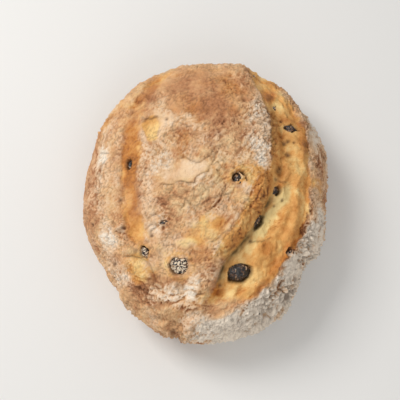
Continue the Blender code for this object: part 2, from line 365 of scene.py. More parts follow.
class Crust:
    """Every point of the loaf's mesh on the plain form, with its distances from the crust's features."""

    def __init__(self):
        azimuth, latitude = crown_grid()
        self.border = crown_border()
        azimuth = np.concatenate([azimuth, np.tile(azimuth[self.border], RINGS), [0.0]])
        levels = np.repeat(ring_latitudes(), len(self.border))
        latitude = np.concatenate([latitude, levels, [-math.pi / 2]])
        self.form = dome_point(azimuth, latitude)
        self.outward = outward_direction(azimuth, latitude)
        facing_up = smooth_step(0.5, 0.75, self.outward[:, 2])[:, None]
        self.falling = self.outward * (1.0 - facing_up)
        self.falling[:, 2] += (facing_up / np.maximum(self.outward[:, 2:], 0.5))[:, 0]
        self.plan = unrolled_place(azimuth, latitude)
        self.ragged = 0.22 * layered_noise(self.form, 7.0, 11)
        self.rim = np.hypot(self.plan[:, 0], self.plan[:, 1]) / outline_radius(azimuth)
        self.wander = 0.9 * layered_noise(self.form, 5.0, 71, layers=3)
        self.lobe = Line(self.plan, LOBE_EDGE)
        self.before_lip = -Line(self.plan, LIP_EDGE).past + self.wander
        self.groove = Line(self.plan, SECOND_GROOVE)
        self.crease = Line(self.plan, CREASE)
        self.ridge = Line(self.plan, HOT_RIDGE)
        self.strip = Line(self.plan, PALE_STRIP)
        self.under = Line(self.plan, UNDER_LIP)
        self.band = Line(self.plan, LEFT_BAND)
        self.left = Line(self.plan, LEFT_RIDGE)
        self.pleat = Line(self.plan, LEFT_PLEAT)
        self.seam = Line(self.plan, FRONT_SEAM)
        self.flake = Line(self.plan, FLAKE_EDGE)
        self.flake_crack = Line(self.plan, FLAKE_CRACK)
        self.torn = self.torn_share()

    def torn_share(self):
        """1 on the dough laid bare between the lobe's edge and the lip, and in the left band."""
        y = self.plan[:, 1]
        inside = smooth_step(-0.8, 0.8, self.lobe.past + 0.5 * self.wander)
        inside = inside * smooth_step(-0.6, 1.4, self.before_lip)
        inside *= smooth_step(2.0, 9.0, self.lobe.past + self.before_lip) * smooth_step(-66.0, -57.0, y)
        band = 1.0 - smooth_step(1.6, 6.4, np.abs(self.band.past) + 1.9 * self.wander)
        band *= self.band.fade(9.0) * (0.5 + 0.35 * smooth_step(40.0, 10.0, y))
        return np.maximum(inside, band)


# Relief: heights over the plain form.

SPLIT_DEPTH = 5.6
LOBE_RISE = 1.5
LIP_RISE = 1.2
FOLD_FADE = (4.0, 16.0)
GRAIN_FADE = (0.4, 4.0)
BLISTERS = 90
THIN_CRACK_DEPTH = 0.9
PORE_DEPTH = 1.3
COMBED_HOLLOW = 0.55

# How dark the three kinds of crack are drawn: partly the bare crust in them, partly painted shade.
SCALE_TONE = 0.95
THIN_TONE = 0.7
COMBED_TONE = 0.22


def swelling(crust):
    """The slow unevenness of a dome shaped by hand."""
    wide = 0.7 * swell_noise(crust.form, 38.0, 1) + 0.55 * swell_noise(crust.form, 17.0, 2)
    return wide + 0.4 * swell_noise(crust.form, 8.5, 3) * (1.0 - 0.5 * crust.torn)


def split_relief(crust):
    """The burst side. Down its lower half the lobe ends in one steep drop, and the torn dough climbs from
    its foot to the lip. Up its upper half the drop comes in two steps, the second in the groove."""
    y = crust.plan[:, 1]
    width = np.maximum(crust.lobe.past + crust.before_lip, 1e-6)
    inside = (crust.lobe.past > 0) & (crust.before_lip > 0)
    share = np.where(inside, crust.lobe.past / width, 0.0)
    drop = smooth_step(-0.4, 1.4, crust.lobe.past + 0.5 * crust.wander)
    slope = smooth_step(-4.5, 2.6, crust.lobe.past)
    lower = slope * (1.0 - 0.9 * smooth_step(0.12, 0.75, share)) * (crust.before_lip > 0)
    second = smooth_step(-4.0, -0.4, crust.groove.past)
    second = second * (1.0 - 0.85 * smooth_step(0.4, 6.5, crust.groove.past))
    upper = 0.3 * drop * (1.0 - 0.8 * smooth_step(0.3, 8.0, crust.groove.past)) + 0.45 * second
    upper *= inside
    top = 0.4 * drop * (1.0 - 0.8 * smooth_step(0.25, 0.9, share)) * inside
    floor = lower + (upper - lower) * smooth_step(-2.0, 9.0, y)
    floor = floor + (top - floor) * smooth_step(44.0, 54.0, y)
    fade = smooth_step(3.0, 14.0, width)
    floor *= fade * (1.0 - 0.5 * smooth_step(55.0, 78.0, y)) * smooth_step(-70.0, -56.0, y)
    relief = -SPLIT_DEPTH * floor
    past = crust.lobe.past
    relief += LOBE_RISE * bell(past + 5.0, 7.0) * (past <= 0)
    relief += LOBE_RISE * bell(5.0, 7.0) * (1.0 - smooth_step(0.0, 3.0, past)) * (past > 0)
    relief += LIP_RISE * bell(crust.before_lip + 3.0, 4.0) * fade
    return relief


def torn_relief(crust):
    """What the torn dough has of its own: a crease at the lobe's foot, a long ridge and a pale strip, with
    strands drawn out along the split."""
    crease = crust.crease.fade(6.0)
    relief = -1.1 * bell(crust.crease.past + 0.4 * crust.wander, 1.4) * crease
    relief -= 0.9 * crust.groove.bead(1.2, 8.0)
    relief += 1.9 * crust.ridge.bead(3.0, 10.0)
    relief += 0.7 * crust.strip.bead(3.0, 8.0)
    relief += 1.5 * patch(crust, 29, -36, 15, 9, 50) + 1.0 * patch(crust, 40, -42, 15, 7, 50)
    relief += 0.9 * patch(crust, 46, 37, 9, 7, 60) - 0.7 * patch(crust, 44, 26, 7, 5, 20)
    strands = np.stack([crust.lobe.past / 1.9, crust.lobe.down / 7.0, np.zeros(len(crust.plan))], axis=-1)
    strands += 0.25 * crust.wander[:, None]
    lumps = np.stack([crust.lobe.past / 5.0, crust.lobe.down / 9.0, np.zeros(len(crust.plan))], axis=-1)
    drawn = 0.3 * swell_noise(strands, 1.0, 21) + 1.1 * swell_noise(lumps, 1.0, 22)
    drawn += 0.5 * swell_noise(crust.form, 3.4, 23)
    return relief + drawn * crust.torn


def skin_edges(crust):
    """Edges where a skin of crust ends: the lip's jagged rim and the folds under it, the sides of the left
    band, and the ridge outside it."""
    y = crust.plan[:, 1]
    lip = smooth_step(-2.2, -0.2, -crust.before_lip) * bell(np.maximum(-crust.before_lip, 0.0), 5.0)
    lip *= smooth_step(12.0, 0.0, y) * smooth_step(4.0, 12.0, crust.lobe.past + crust.before_lip)
    rims = 1.5 * bell(crust.under.past + 0.8 * crust.wander, 1.0)
    rims += 1.3 * bell(crust.under.past - 3.4 + 0.9 * crust.wander, 0.9)
    rims += 1.2 * bell(crust.under.past - 6.8 + 0.6 * crust.wander, 1.0)
    rims *= crust.under.fade(8.0)
    away = np.abs(crust.band.past)
    band = -2.3 * (1.0 - smooth_step(2.0, 6.0, away + 0.7 * crust.wander))
    band *= crust.band.fade(12.0)
    ridge = 1.6 * crust.left.bead(5.0, 12.0)
    return 1.1 * lip + rims + band + ridge


def flake_relief(crust):
    """A flake of skin lifted along its ragged lower edge, with a crack along its upper side."""
    above = smooth_step(-0.25, 0.25, -crust.flake.past)
    lift = above * bell(np.maximum(-crust.flake.past, 0.0), 7.0) * crust.flake.fade(6.0)
    crack = crust.flake_crack.bead(0.5, 4.0)
    return 2.3 * lift - 1.3 * crack


def edge_shadow(crust):
    """Painted shadow: 1 in the gap under the flake's edge, and nearly so in the crack above it, under the
    pit's upper rim, in the pleat and in the pores."""
    flake = 0.95 * crust.flake.bead(0.75, 5.0, -0.5)
    top = 0.55 * crust.flake_crack.bead(0.5, 4.0)
    flake = np.maximum(flake, top)
    rim = Line(crust.plan, PIT_RIM, CRACK_STEPS)
    shadow = np.maximum(flake, 0.9 * rim.bead(0.6, 3.0))
    pleat = 0.7 * crust.pleat.bead(0.7, 4.0)
    return np.maximum(np.maximum(shadow, pleat), pores(crust))


def pores(crust):
    """1 in the small holes, which edge_shadow darkens with painted shade."""
    open_share = np.zeros(len(crust.plan))
    for x, y, size in PORES:
        gap = np.hypot(crust.plan[:, 0] - x, crust.plan[:, 1] - y) + 0.4 * crust.wander
        open_share = np.maximum(open_share, bell(np.maximum(gap, 0.0), 1.2 * size))
    return open_share


def folds(crust):
    """The pleat and the seam at the -Y end, the burst blister's pit, and a few soft hollows and knobs."""
    relief = -2.0 * crust.pleat.bead(1.4, 4.0)
    relief += 1.0 * crust.pleat.bead(3.0, 4.0, 3.5)
    relief -= 1.7 * crust.seam.bead(2.2, 6.0)
    gap = crust.plan - (-29.0, 31.0)
    bowl = bell(np.hypot(gap[:, 0], gap[:, 1] / 1.15), 5.2)
    relief -= 2.3 * bowl * smooth_step(6.2, 5.0, gap[:, 1] + 0.5 * crust.wander)
    relief -= 0.9 * patch(crust, 20, 47, 5, 4) + 0.8 * patch(crust, -15, 37, 12, 3, -42)
    relief += 0.7 * patch(crust, -12, 38, 13, 2.6, -42)
    relief -= 1.2 * patch(crust, -17, -73, 9, 4)
    relief += 1.3 * patch(crust, -44, -24, 8, 5, -10) + 1.0 * patch(crust, -40.5, 37, 4, 5)
    relief += 0.9 * patch(crust, 52, 17, 4, 4) + 1.0 * patch(crust, -12, -33, 12, 5)
    return relief - PORE_DEPTH * pores(crust)


PIT_RIM = ((-34, 34), (-33, 36.5), (-30, 36), (-28, 37), (-25, 36))

# Small holes, darkened with painted shade: x, y, size.
PORES = (
    (37, 7, 1.3), (42, 24.5, 1.0), (44, 25.5, 0.8), (43.5, 17, 1.1), (20, 47, 0.9), (38, 9, 0.8),
    (36, 3, 0.7), (-61.5, -19, 0.9), (-49, -41, 1.0), (-44, -24, 0.9), (-46, -9, 0.8), (39, -9, 0.6),
    (31, -55, 0.6), (-29, -29, 0.8), (22, -31, 0.7), (19, -28, 0.7), (24, -25, 0.7), (35, -12, 0.5),
    (-18, -76, 1.2), (-14, 24, 0.6), (6, -53, 0.8), (41, 38, 0.6), (47, 24, 0.6), (-36, -8, 0.6),
    (12, -32, 0.6), (-22, 35, 0.7),
)  # fmt: skip

CRACKS = (
    ((0, 6), (3, 11), (5, 16), (8, 19)),
    ((1, 7), (5, 9), (10, 11)),
    ((-60, 22), (-56, 20), (-52, 18)),
    ((-18, -9), (-12, -11), (-8, -15), (-6, -19)),
    ((-16, -17), (-13, -14), (-12, -10)),
    ((18, -29), (20, -27), (22, -26)),
    ((-21, -21), (-25, -24), (-29, -23), (-33, -26)),
    ((-33, -16), (-31, -20), (-27, -18), (-24, -22)),
    ((-29, -30), (-30, -27), (-27, -25), (-28, -21)),
    ((20, -33), (24, -31), (29, -31), (34, -28)),
    ((37, 3), (39, 1), (43, 1)),
    ((0, -34), (4, -32), (9, -28)),
    ((3, -41), (9, -37), (14, -33)),
    ((-2, -13), (3, -10), (9, -8), (13, -7)),
    ((-1, -18), (5, -13), (8, -6), (11, -1)),
    ((-34, -58), (-28, -55), (-22, -56)),
    ((-16, 33), (-11, 30), (-7, 30)),
    ((47, -46), (44, -53), (38, -60)),
    ((58, -33), (53, -42), (48, -49)),
)


def crack_depth(crust):
    """1 along the bottom of every listed thin crack."""
    plan = crust.plan + 0.35 * np.stack([crust.wander, -crust.wander], axis=-1)
    deep = np.zeros(len(plan))
    for points in CRACKS:
        crack = Line(plan, points, CRACK_STEPS)
        deep = np.maximum(deep, crack.bead(0.42, 2.0))
    return deep


def crinkles(crust):
    """(relief, cracked): the dry floury skin breaks into scales. They lie across the slope on the right of
    the lobe, along the rim under the lip, and every way on the rest."""
    flat = np.zeros(len(crust.plan))
    x, y = crust.plan[:, 0], crust.plan[:, 1]
    tilted = np.stack([(x + 0.25 * y) / 2.9, (y - 0.25 * x) / 1.45, flat], axis=-1)
    rim = np.stack([crust.under.past / 1.7, crust.under.down / 4.4, flat], axis=-1)
    gap_right = cell_gap(tilted + 0.22 * crust.wander[:, None], 1.0, 31)
    gap_rim = cell_gap(rim + 0.7 * swells(crust.form, 4.0, (68, 69, 70)), 1.0, 32)
    gap_all = cell_gap(crust.form + 1.6 * swells(crust.form, 5.0, (65, 66, 67)), 2.5, 33)
    right = patch(crust, 28, 28, 50, 17, 88)
    under = bell(np.maximum(np.abs(crust.under.past - 2.0) - 4.0, 0.0), 5.0)
    under *= crust.under.fade(26.0) * (0.7 + 0.7 * swell_noise(crust.form, 10.0, 34))
    under = np.clip(under, 0.0, 1.0) * (1.0 - crust.torn)
    rest = np.clip(0.65 - right - under, 0.0, 1.0) * (1.0 - crust.torn)
    rest *= np.clip(0.7 + 0.9 * swell_noise(crust.form, 9.0, 35), 0.15, 1.0)
    rest *= 1.0 - 0.8 * patch(crust, -11, 4, 30, 12, 20)
    relief = np.zeros(len(flat))
    cracked = np.zeros(len(flat))
    # Gap, share, depth, width of the cracks and how dark they are.
    scales = (
        (gap_right, right, 0.8, 0.34, 0.75),
        (gap_rim, under, 2.2, 0.5, 1.0),
        (gap_all, rest, 0.65, 0.32, 0.95),
    )
    for gap, share, depth, wide, dark in scales:
        groove = 1.0 - smooth_step(0.02, wide, gap)
        relief -= depth * share * groove
        cracked = np.maximum(cracked, dark * share * (1.0 - smooth_step(0.0, 0.6 * wide, gap)))
    return relief, cracked


def wrinkles(crust):
    """(relief, hollow): a dry skin shrunk into soft lumps with sharp valleys between them, which is the size
    of swell noise without its sign. The lumps are bent by slower noise, drawn out round the loaf towards its
    rim, and stronger in some places than in others."""
    radius = np.hypot(crust.plan[:, 0], crust.plan[:, 1]) + 1e-6
    circling = np.stack([-crust.plan[:, 1], crust.plan[:, 0], np.zeros(len(radius))], axis=-1)
    circling = circling / radius[:, None]
    bent = crust.form + 2.2 * swells(crust.form, 8.0, (61, 62, 63))
    drawn = 0.62 * smooth_step(0.3, 0.8, crust.rim)
    bent = bent - circling * (drawn * np.sum(bent * circling, axis=1))[:, None]
    large = np.abs(swell_noise(bent, 4.6, 41))
    small = np.abs(swell_noise(bent, 2.3, 42))
    tiny = np.abs(swell_noise(bent, 1.3, 43))
    calm = (1.0 - 0.5 * crust.torn) * (1.0 - 0.8 * np.clip(patches(crust, CALM_PATCHES), 0.0, 1.0))
    calm *= 0.8 + 0.5 * swell_noise(crust.form, 16.0, 64)
    calm = np.clip(calm, 0.12, 1.2)
    relief = (1.1 * large + 1.2 * small + 0.6 * tiny - 0.7) * calm
    hollow = 1.0 - 0.3 * smooth_step(0.0, 0.12, large) - 0.35 * smooth_step(0.0, 0.16, small)
    hollow -= 0.3 * smooth_step(0.0, 0.18, tiny)
    return relief, hollow * calm


# Where the skin is drawn into straight wrinkles: x, y, length, width and turn of the place, then the
# wrinkles' own direction in degrees and their depth.
COMBED = (
    (4, -6, 26, 18, 40, 48, 0.7),
    (5, 13, 14, 18, 60, 62, 0.6),
    (-30, -55, 26, 14, -40, -32, 0.6),
    (-8, -61, 34, 14, 5, 12, 0.7),
    (-1, -46, 16, 12, 20, 22, 0.6),
    (-2, 55, 44, 30, 0, 4, 0.2),
    (-60, 10, 50, 14, 90, 74, 0.5),
    (-20, -20, 16, 14, 0, -28, 0.5),
    (16, 60, 16, 18, 0, 70, 0.5),
    (10, -26, 24, 10, 50, 55, 0.45),
    (33, -22, 26, 9, 55, -28, 0.5),
    (27, -10, 32, 10, 66, 68, 0.9),
    (15, -31, 28, 9, 50, 52, 0.8),
    (38, 26, 8, 44, 0, 40, 0.5),
    (26, 40, 18, 22, 0, 36, 0.7),
    (24, 20, 20, 22, 0, 52, 0.6),
    (-30, 12, 16, 20, 0, -38, 0.5),
    (12, 28, 20, 16, 0, 24, 0.5),
    (20, -59, 26, 9, 25, 24, 0.5),
    (10, -76, 44, 12, 12, 10, 0.8),
    (47, -47, 38, 15, 58, 57, 1.4),
    (57, -22, 26, 14, 82, 82, 1.2),
    (28, -66, 30, 14, 36, 36, 1.3),
    (62, 30, 60, 12, 100, 98, 0.6),
)


def combed_wrinkles(crust):
    """(relief, hollow): noise drawn out along each place's own direction, cut into grooves where it is
    near 0."""
    relief = np.zeros(len(crust.plan))
    hollow = np.zeros(len(crust.plan))
    for number, (x, y, length, width, turn, direction, depth) in enumerate(COMBED):
        place = patch(crust, x, y, length, width, turn)
        cosine, sine = math.cos(math.radians(direction)), math.sin(math.radians(direction))
        along = crust.plan @ (cosine, sine) + crust.wander
        across = crust.plan @ (-sine, cosine) + 0.6 * crust.wander
        drawn = np.stack([along / 7.5, across / 1.7, np.full(len(along), 0.5)], axis=-1)
        groove = 1.0 - smooth_step(0.0, 0.2, np.abs(swell_noise(drawn, 1.0, 80 + number)))
        relief -= depth * place * groove
        hollow = np.maximum(hollow, place * groove * depth / 0.6)
    return relief, hollow


def blisters(crust):
    """Small blisters scattered at random."""
    relief = np.zeros(len(crust.plan))
    draws = np.random.default_rng(7)
    for _ in range(BLISTERS):
        azimuth, reach = draws.uniform(0.0, 2.0 * math.pi), math.sqrt(draws.uniform(0.0, 1.6))
        middle = reach * outline_radius(azimuth) * np.array([math.cos(azimuth), math.sin(azimuth)])
        size, rise = draws.uniform(1.2, 3.2), draws.uniform(0.2, 0.6)
        relief += rise * bell(np.linalg.norm(crust.plan - middle, axis=1), size)
    return relief


def overhang(crust):
    """How far the skin slides out, in the plan, over the hollow beside it: at the lobe's edge, the pleat and
    the flake."""
    lobe = 0.9 * crust.crease.bead(1.4, 8.0, 2.2)
    pleat = 0.9 * crust.pleat.bead(1.2, 4.0, 0.4)
    flake = 0.5 * crust.flake.bead(0.6, 6.0, 0.1)
    slide = lobe[:, None] * crust.crease.off + pleat[:, None] * crust.pleat.off
    slide += flake[:, None] * crust.flake.off
    return np.column_stack([slide, np.zeros(len(slide))])


# Raisins.

# How deep a raisin's middle sits, as a share of its half thickness, how much flour clings to it, and how far
# it is drawn out into four corners.
RAISIN_LOOKS = {
    "raisin_front_large": (0.45, 0.0, 0.0),
    "raisin_front_floury": (0.6, 1.0, 0.0),
    "raisin_covered": (0.95, 0.25, 0.0),
    "raisin_right_shoulder": (0.45, 0.0, 0.3),
    "raisin_split_long": (0.6, 0.0, 0.1),
    "raisin_left_fold": (0.75, 0.75, 0.1),
    "raisin_slit": (1.0, 0.1, 0.0),
    "raisin_upper_split": (0.9, 0.0, 0.0),
}
PLAIN_RAISIN = (0.65, 0.05, 0.08)

# Mouths in the skin over a raisin that is mostly covered, as patches: x, y, length, width, turn.
MOUTHS = {
    "raisin_covered": ((14.0, 1.4, 5.0, 4.6, 40), (18.2, 3.6, 5.0, 1.3, -32), (20.9, -0.4, 6.0, 1.2, -68)),
    "raisin_slit": ((-23.4, -22.4, 4.2, 1.3, 15),),
    "raisin_front_floury": (
        (-15.6, -45.0, 9.6, 7.6, -12),
        (-13.2, -43.4, 5.0, 4.6, 0),
        (-17.5, -46.4, 5.0, 4.4, 30),
    ),
    "raisin_upper_split": ((38.2, 47.6, 2.2, 1.6, 0), (36.8, 45.2, 1.8, 1.5, 0)),
}
RAISIN_ROWS = 56
RAISIN_COLUMNS = 80
POINTS_NEAR_RAISIN = 40
POCKET_REACH = 12.0
ROOM_UNDER_RAISIN = 0.6
SKIN_OVER_RAISIN = 0.45


class Raisin:
    """Where one CAD raisin is: its middle, its own directions and its half sizes, read from its mesh."""

    def __init__(self, node, crust, surface, shift):
        self.name = node.name
        points = np.empty(len(node.data.vertices) * 3)
        node.data.vertices.foreach_get("co", points)
        points = points.reshape(-1, 3) / MM - shift
        middle = points.mean(axis=0)
        near = np.argsort(np.linalg.norm(surface - middle, axis=1))[:POINTS_NEAR_RAISIN]
        outward = crust.outward[near].mean(axis=0)
        outward /= np.linalg.norm(outward)
        spread = np.linalg.eigh(np.cov((points - middle).T))[1][:, 2]
        along = spread - outward * (spread @ outward)
        along /= np.linalg.norm(along)
        self.axes = np.stack([along, np.cross(outward, along), outward])
        reach = (points - middle) @ self.axes.T
        self.half = (reach.max(axis=0) - reach.min(axis=0)) / 2
        sunk_share, self.flour, self.corners = RAISIN_LOOKS.get(self.name, PLAIN_RAISIN)
        self.sunk = sunk_share * self.half[2]
        over = (surface - middle) @ self.axes.T
        close = np.hypot(over[:, 0] / self.half[0], over[:, 1] / self.half[1]) < 0.9
        close &= np.abs(over[:, 2]) < 3.0 * self.half[2]
        self.middle = middle + outward * (over[close, 2].mean() - self.sunk)

    def corner_reach(self, along, across):
        """The outline's reach in a direction: 1 at its four corners, along the two axes, and less between."""
        angle = np.arctan2(across / self.half[1], along / self.half[0])
        return 1.0 - self.corners * (0.5 - 0.5 * np.cos(4.0 * angle)) ** 0.6

    def pocket(self, crust):
        """(relief, open share, rim share) that the raisin gives the crust: a bowl under the part that is
        open, with a wall just outside the raisin's edge, a low rim round it, and skin over the rest."""
        reach = (crust.form - self.middle) @ self.axes.T
        ragged = 0.5 * crust.ragged
        out = np.hypot(reach[:, 0] / (self.half[0] + 0.2), reach[:, 1] / (self.half[1] + 0.2)) + ragged
        out = out / self.corner_reach(reach[:, 0], reach[:, 1])
        out = np.where(np.abs(reach[:, 2]) < POCKET_REACH, out, FAR)
        dome = self.half[2] * np.sqrt(np.maximum(1.0 - out**2, 0.0))
        mouths = MOUTHS.get(self.name, ())
        opening = np.max([patch(crust, *mouth) for mouth in mouths], axis=0) if mouths else np.ones(len(out))
        inside = (1.0 - smooth_step(0.93, 1.1, out)) * smooth_step(0.3, 0.7, opening)
        skin = np.maximum(dome - self.sunk + SKIN_OVER_RAISIN, 0.0) * (1.0 - inside) * (out < 1.0)
        if not mouths:
            skin = np.zeros(len(out))
        bowl = -(self.sunk + ROOM_UNDER_RAISIN + dome) * inside
        rim = bell(out - 1.28, 0.2) * (1.0 - inside)
        return bowl + skin + 0.5 * rim, inside, rim

    def berry(self):
        """(points, faces, flour): an egg drawn in by folds. Rows run from one tip to the other and columns
        round it. The radius is 1, less ridged noise that is stretched along the berry."""
        row = np.linspace(0.0, math.pi, RAISIN_ROWS + 1)[1:-1]
        column = np.linspace(0.0, 2.0 * math.pi, RAISIN_COLUMNS, endpoint=False)
        tip, round_it = np.meshgrid(row, column, indexing="ij")
        x = np.concatenate([np.cos(tip).ravel(), [1.0, -1.0]])
        y = np.concatenate([(np.sin(tip) * np.cos(round_it)).ravel(), [0.0, 0.0]])
        z = np.concatenate([(np.sin(tip) * np.sin(round_it)).ravel(), [0.0, 0.0]])
        unit = np.stack([x, y, z], axis=-1)
        body = unit * self.half
        body[:, :2] *= self.corner_reach(body[:, 0], body[:, 1])[:, None]
        seed = 100 + sum(map(ord, self.name))
        drawn = body * (0.55, 1.0, 1.0)
        fold_size = max(1.5, 0.36 * self.half[1])
        folded = np.abs(swell_noise(drawn, fold_size, seed))
        folded += 0.45 * np.abs(swell_noise(drawn, fold_size / 2, seed + 1))
        valley = 1.0 - smooth_step(0.0, 0.36, folded)
        shrink = 0.97 + 0.08 * swell_noise(body, self.half[0], seed + 2) - 0.22 * valley
        gap = cell_gap(body + 0.9 * swells(body, 2.4, (seed + 4, seed + 5, seed + 6)), 2.4, seed + 3)
        flour = self.flour * smooth_step(0.08, 0.2, gap) * (1.0 - 0.8 * valley)
        return body * shrink[:, None] @ self.axes + self.middle, ball_faces(), flour


def ball_faces():
    """Faces of a ball of rows and columns that is closed by one point at each tip."""
    rows = RAISIN_ROWS - 1
    numbers = np.arange(rows * RAISIN_COLUMNS).reshape(rows, RAISIN_COLUMNS)
    following = np.roll(numbers, -1, axis=1)
    sides = np.stack([numbers[:-1], numbers[1:], following[1:], following[:-1]], axis=-1).reshape(-1, 4)
    first = [(rows * RAISIN_COLUMNS, a, b) for a, b in zip(numbers[0].tolist(), following[0].tolist())]
    last = [(rows * RAISIN_COLUMNS + 1, b, a) for a, b in zip(numbers[-1].tolist(), following[-1].tolist())]
    return sides.tolist() + first + last


# Where the skin is smooth: x, y, length, width, turn in degrees, amount.
CALM_PATCHES = (
    (-12, 4, 28, 10, 20, 1.0),
    (-2, 54, 56, 36, 0, 0.75),
    (-66, 0, 14, 90, 0, 0.6),
    (-12, -33, 14, 6, 0, 1.0),
    (28, -4, 10, 26, -18, 0.25),
    (14, -32, 8, 24, -40, 0.2),
    (-29, 30, 14, 18, 0, 1.2),
    (-4, -25, 20, 8, 10, 0.4),
    (26, 30, 16, 46, 0, 0.45),
    (20, -58, 26, 8, 30, 0.3),
)

# What covers the crust, in rows of the same kind.
FLOUR_PATCHES = (
    (-2, 54, 50, 34, 0, -0.45),
    (6, 38, 28, 20, -20, -0.35),
    (28, 30, 46, 13, 88, 0.55),
    (23, 13, 24, 17, 70, 0.4),
    (-27, 18, 36, 19, 88, 0.52),
    (-21, 37, 17, 7, -35, 0.12),
    (-24, 47, 12, 5, 70, 0.3),
    (-56, 4, 44, 9, 92, 0.5),
    (-53, -28, 24, 9, 105, 0.5),
    (-54, 26, 26, 11, 80, 0.35),
    (-35, 2, 7, 18, 0, 0.15),
    (-29, -19, 25, 15, 90, 0.4),
    (-46, -46, 15, 8, -55, 0.45),
    (-8, -54, 8, 13, -20, 0.5),
    (-16, -59, 28, 11, -10, 0.6),
    (13, -24, 13, 6, 55, 0.4),
    (6, -36, 12, 5, 45, 0.45),
    (21, -6, 10, 5, -60, 0.4),
    (-6, -71, 16, 9, 0, 0.45),
    (18, 60, 16, 15, 0, 0.2),
    (14, -76, 40, 13, 6, 0.5),
    (-3, -28, 26, 10, 10, -0.25),
    (-35, -48, 14, 9, -30, -0.3),
    (10, 3, 22, 14, 0, -0.15),
    # Less flour on the far right flank: painted shade.
    (67, -6, 12, 38, 0, -0.3),
    (-3, 22, 14, 12, 0, -0.15),
    (-30, 32, 9, 9, 0, -1.2),
    (-30, 27, 7, 9, 12, -1.0),
    (60, 34, 12, 40, -14, 0.4),
    (-44, -24, 8, 6, -10, 0.5),
    (20, -70, 22, 6, 22, 0.3),
    (30, 8, 12, 20, 0, 0.25),
    (-24, 8, 14, 14, 0, 0.1),
    (-11, 5, 24, 8, 20, 0.38),
)
BAKE_PATCHES = (
    (8, -4, 52, 54, 0, -0.15),
    (-24, 20, 16, 34, 0, -0.1),
    (-2, 53, 50, 32, 0, 0.22),
    (4, 40, 30, 16, -10, 0.12),
    (-3, 24, 22, 15, 30, 0.24),
    (-14, 19, 7, 28, 0, 0.1),
    (10, -18, 22, 13, 35, 0.26),
    (-66, 4, 16, 90, 0, 0.2),
    (28, -4, 9, 26, -18, 0.26),
    (-24, -12, 9, 7, 0, 0.3),
    (-37, -5, 6, 18, 0, 0.2),
    (-32, 55, 12, 22, -25, 0.1),
    (-34, -57, 20, 8, -35, 0.22),
    (-16, -53, 12, 7, -20, 0.2),
    (29, -2, 10, 22, -15, 0.14),
    (21, -21, 28, 7, 55, 0.2),
    (11, -34, 18, 6, 52, 0.14),
    (-12, -33, 12, 5, 0, -0.3),
    (-33, -45, 12, 9, -40, -0.25),
    (-29, 29, 11, 12, 0, -0.1),
    (-30, 35, 10, 5, 0, 0.08),
    (-42, -8, 6, 10, 0, -0.12),
    (-41, 14, 9, 48, 0, 0.34),
    (-34, 50, 9, 34, -22, 0.14),
    (-39, -20, 9, 16, 0, 0.12),
    (43, 42, 14, 12, 0, 0.12),
    (45, 11, 7, 18, 0, -0.06),
    (34, 54, 8, 12, -20, 0.3),
    (39, -8, 7, 17, -25, -0.5),
    (31, -21, 7, 20, -38, -0.5),
    (22, -34, 6, 9, -40, -0.3),
    (17, -57, 20, 8, 30, -0.2),
    (47, -13, 8, 30, 0, 0.12),
    (42, -29, 9, 15, 25, 0.26),
    (48, -19, 5, 14, 10, 0.1),
    (38, -42, 22, 6, 50, 0.12),
    (31, -35, 13, 8, 40, 0.2),
    (52, -14, 6, 12, 0, -0.1),
    (54, 30, 8, 16, 0, 0.1),
    (39, 46, 6, 12, 0, -0.15),
    (40, -4, 6, 10, -20, 0.15),
    (28, -54, 8, 5, 40, 0.2),
    (53, 30, 7, 22, 0, 0.26),
    (52, 10, 7, 12, 0, 0.12),
    (37, 22, 7, 50, 0, 0.1),
    (34, 60, 14, 13, 0, 0.12),
    (-41, -20, 9, 14, 0, 0.1),
    (19, 58, 16, 14, 0, 0.12),
    (-8, 5, 20, 8, 25, -0.2),
)
GOLD_PATCHES = (
    (-2, 52, 52, 34, 0, 0.2),
    (12, 4, 26, 14, 0, 0.4),
    (10, -16, 24, 14, 35, 0.35),
    (28, -2, 12, 24, -20, 0.85),
    (22, -19, 30, 8, 55, 0.7),
    (12, -33, 20, 7, 52, 0.55),
    (19, 3, 14, 8, 20, 0.4),
    (-3, -27, 30, 13, 15, 0.5),
    (-35, -45, 18, 13, -30, 0.7),
    (-12, -37, 28, 12, 0, 0.35),
    (-30, 32, 10, 10, 0, 1.0),
    (-30, 27, 8, 10, 12, 0.8),
    (-55, 45, 24, 30, 30, 0.25),
    (-8, -62, 20, 8, 20, 0.25),
    (-14, 18, 7, 26, 0, 0.35),
    (60, 2, 10, 8, 0, 0.6),
    (58, -29, 5, 8, -20, 0.5),
)

# Where painted shade lies on the dough, dull and greenish.
PAINTED_SHADE_PATCHES = (
    (41, 33, 44, 15, 97, 0.2),
    (42, 8, 22, 8, 85, 0.14),
    (18, -40, 16, 8, 50, 0.2),
    (39, -8, 18, 8, 60, 0.24),
    (54, 28, 32, 8, 92, 0.2),
    (29, -17, 20, 6, 55, 0.14),
)

# Where the skin is even in colour.
SMOOTH_SKIN = (
    (-2, 56, 60, 40, 0, 0.9),
    (-66, 4, 14, 100, 0, 0.9),
    (-12, 4, 28, 10, 20, 0.6),
    (-29, 30, 12, 15, 0, 1.0),
    (-30, -60, 34, 14, -36, 0.4),
    (-12, -33, 14, 6, 0, 0.8),
    (30, -40, 36, 30, 50, 0.4),
    (-40, 12, 16, 100, 8, 0.6),
)


def patches(crust, rows):
    """The sum of the patches' amounts at each place."""
    total = np.zeros(len(crust.plan))
    for x, y, length, width, turn, amount in rows:
        total += amount * patch(crust, x, y, length, width, turn)
    return total


